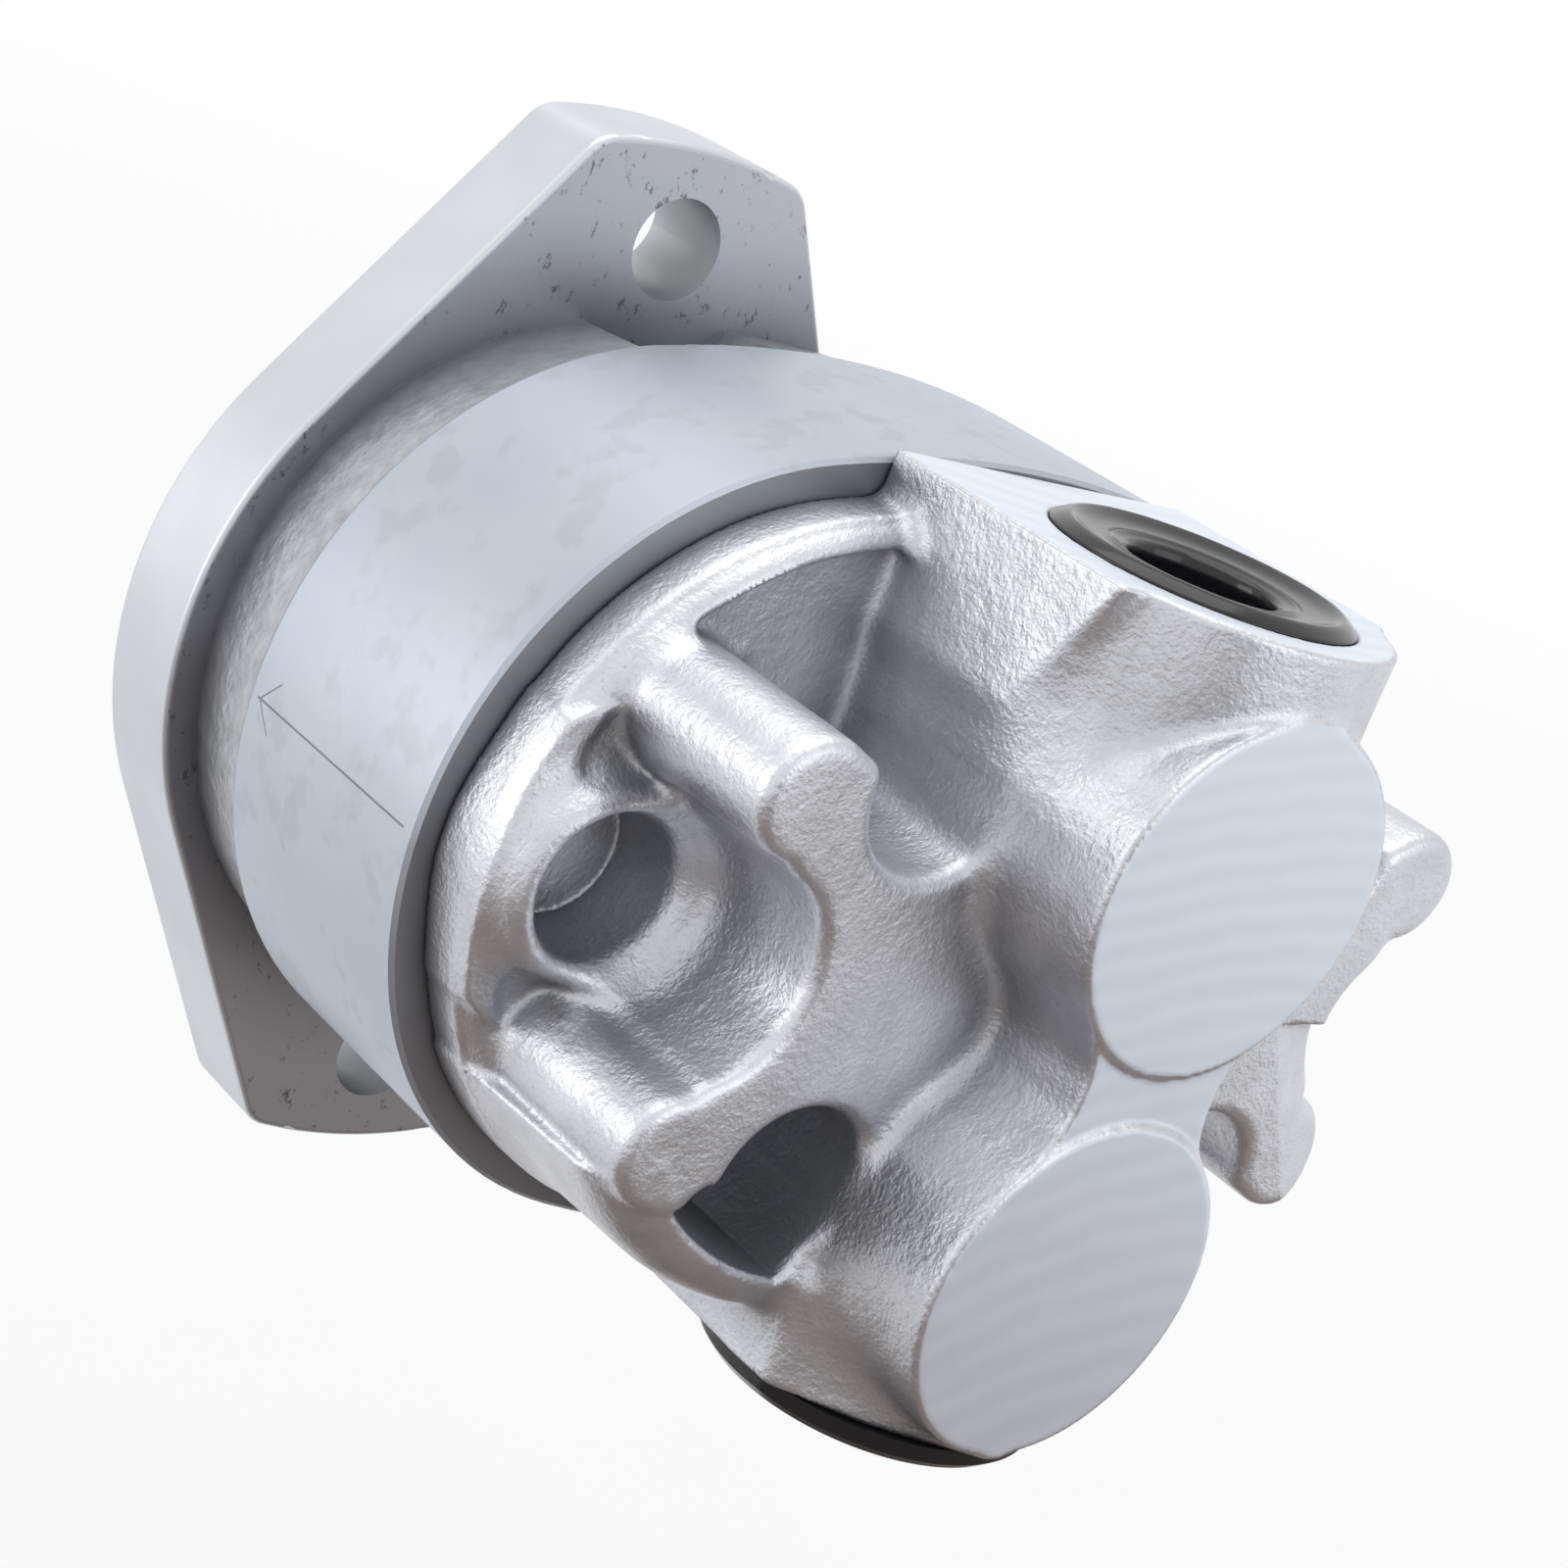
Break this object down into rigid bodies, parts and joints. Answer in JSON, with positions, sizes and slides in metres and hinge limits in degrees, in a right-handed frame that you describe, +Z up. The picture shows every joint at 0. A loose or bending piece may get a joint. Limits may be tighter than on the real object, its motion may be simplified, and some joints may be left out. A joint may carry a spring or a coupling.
{
  "type": "hydraulic gear pump",
  "caption": "External gear pump with a two-bolt flange, a keyed shaft, an oval turned body and a cast rear cover with plugged top and bottom ports.",
  "frame": {"origin": "centre of the locating pilot, on the mounting face", "axes": "+Y along the drive shaft towards its end, +Z up along the line of the two flange bolts, ports at top and bottom"},
  "size_m": [0.1325, 0.1484, 0.1308],
  "materials": {
    "cast_body": "turned satin aluminium, rough cast neck",
    "cast_cover": "bright die cast aluminium with milled faces",
    "steel": "ground steel",
    "bearing_block": "fine turned aluminium",
    "bush": "plain bronze bearing bush",
    "seal_rubber": "black nitrile rubber",
    "backup": "pale plastic strip",
    "port_plastic": "black glossy plastic",
    "dark_steel": "black oxidised steel"
  },
  "bodies": {
    "pump_body": {"housing": "cast_body", "rear_cover": "cast_cover", "top_port_plug": "port_plastic", "bottom_port_cap": "port_plastic", "front_bearing_block": "bearing_block", "rear_bearing_block": "bearing_block", "drive_front_bush": "bush", "drive_rear_bush": "bush", "driven_front_bush": "bush", "driven_rear_bush": "bush", "front_block_seal": "seal_rubber", "rear_block_seal": "seal_rubber", "front_backup_strip": "backup", "rear_backup_strip": "backup", "cover_seal_ring": "seal_rubber", "shaft_seal": "seal_rubber", "seal_case": "steel", "seal_spring": "steel", "seal_snap_ring": "dark_steel", "dowel_sleeves": "steel", "cover_screws": "dark_steel", "screw_washers": "steel"},
    "drive_rotor": {"drive_gear_shaft": "steel", "shaft_key": "steel"},
    "driven_rotor": {"driven_gear_shaft": "steel"}
  },
  "joints": [
    {"name": "drive_shaft_turn", "type": "hinge", "parent": "pump_body", "child": "drive_rotor", "pos_m": [0, 0, 0], "axis": [0, 1, 0], "continuous": true},
    {"name": "driven_gear_turn", "type": "hinge", "parent": "pump_body", "child": "driven_rotor", "pos_m": [0.039, 0, 0], "axis": [0, 1, 0], "continuous": true}
  ],
  "couplings": [
    {"joint": "driven_gear_turn", "follows": "drive_shaft_turn", "ratio": -1}
  ]
}
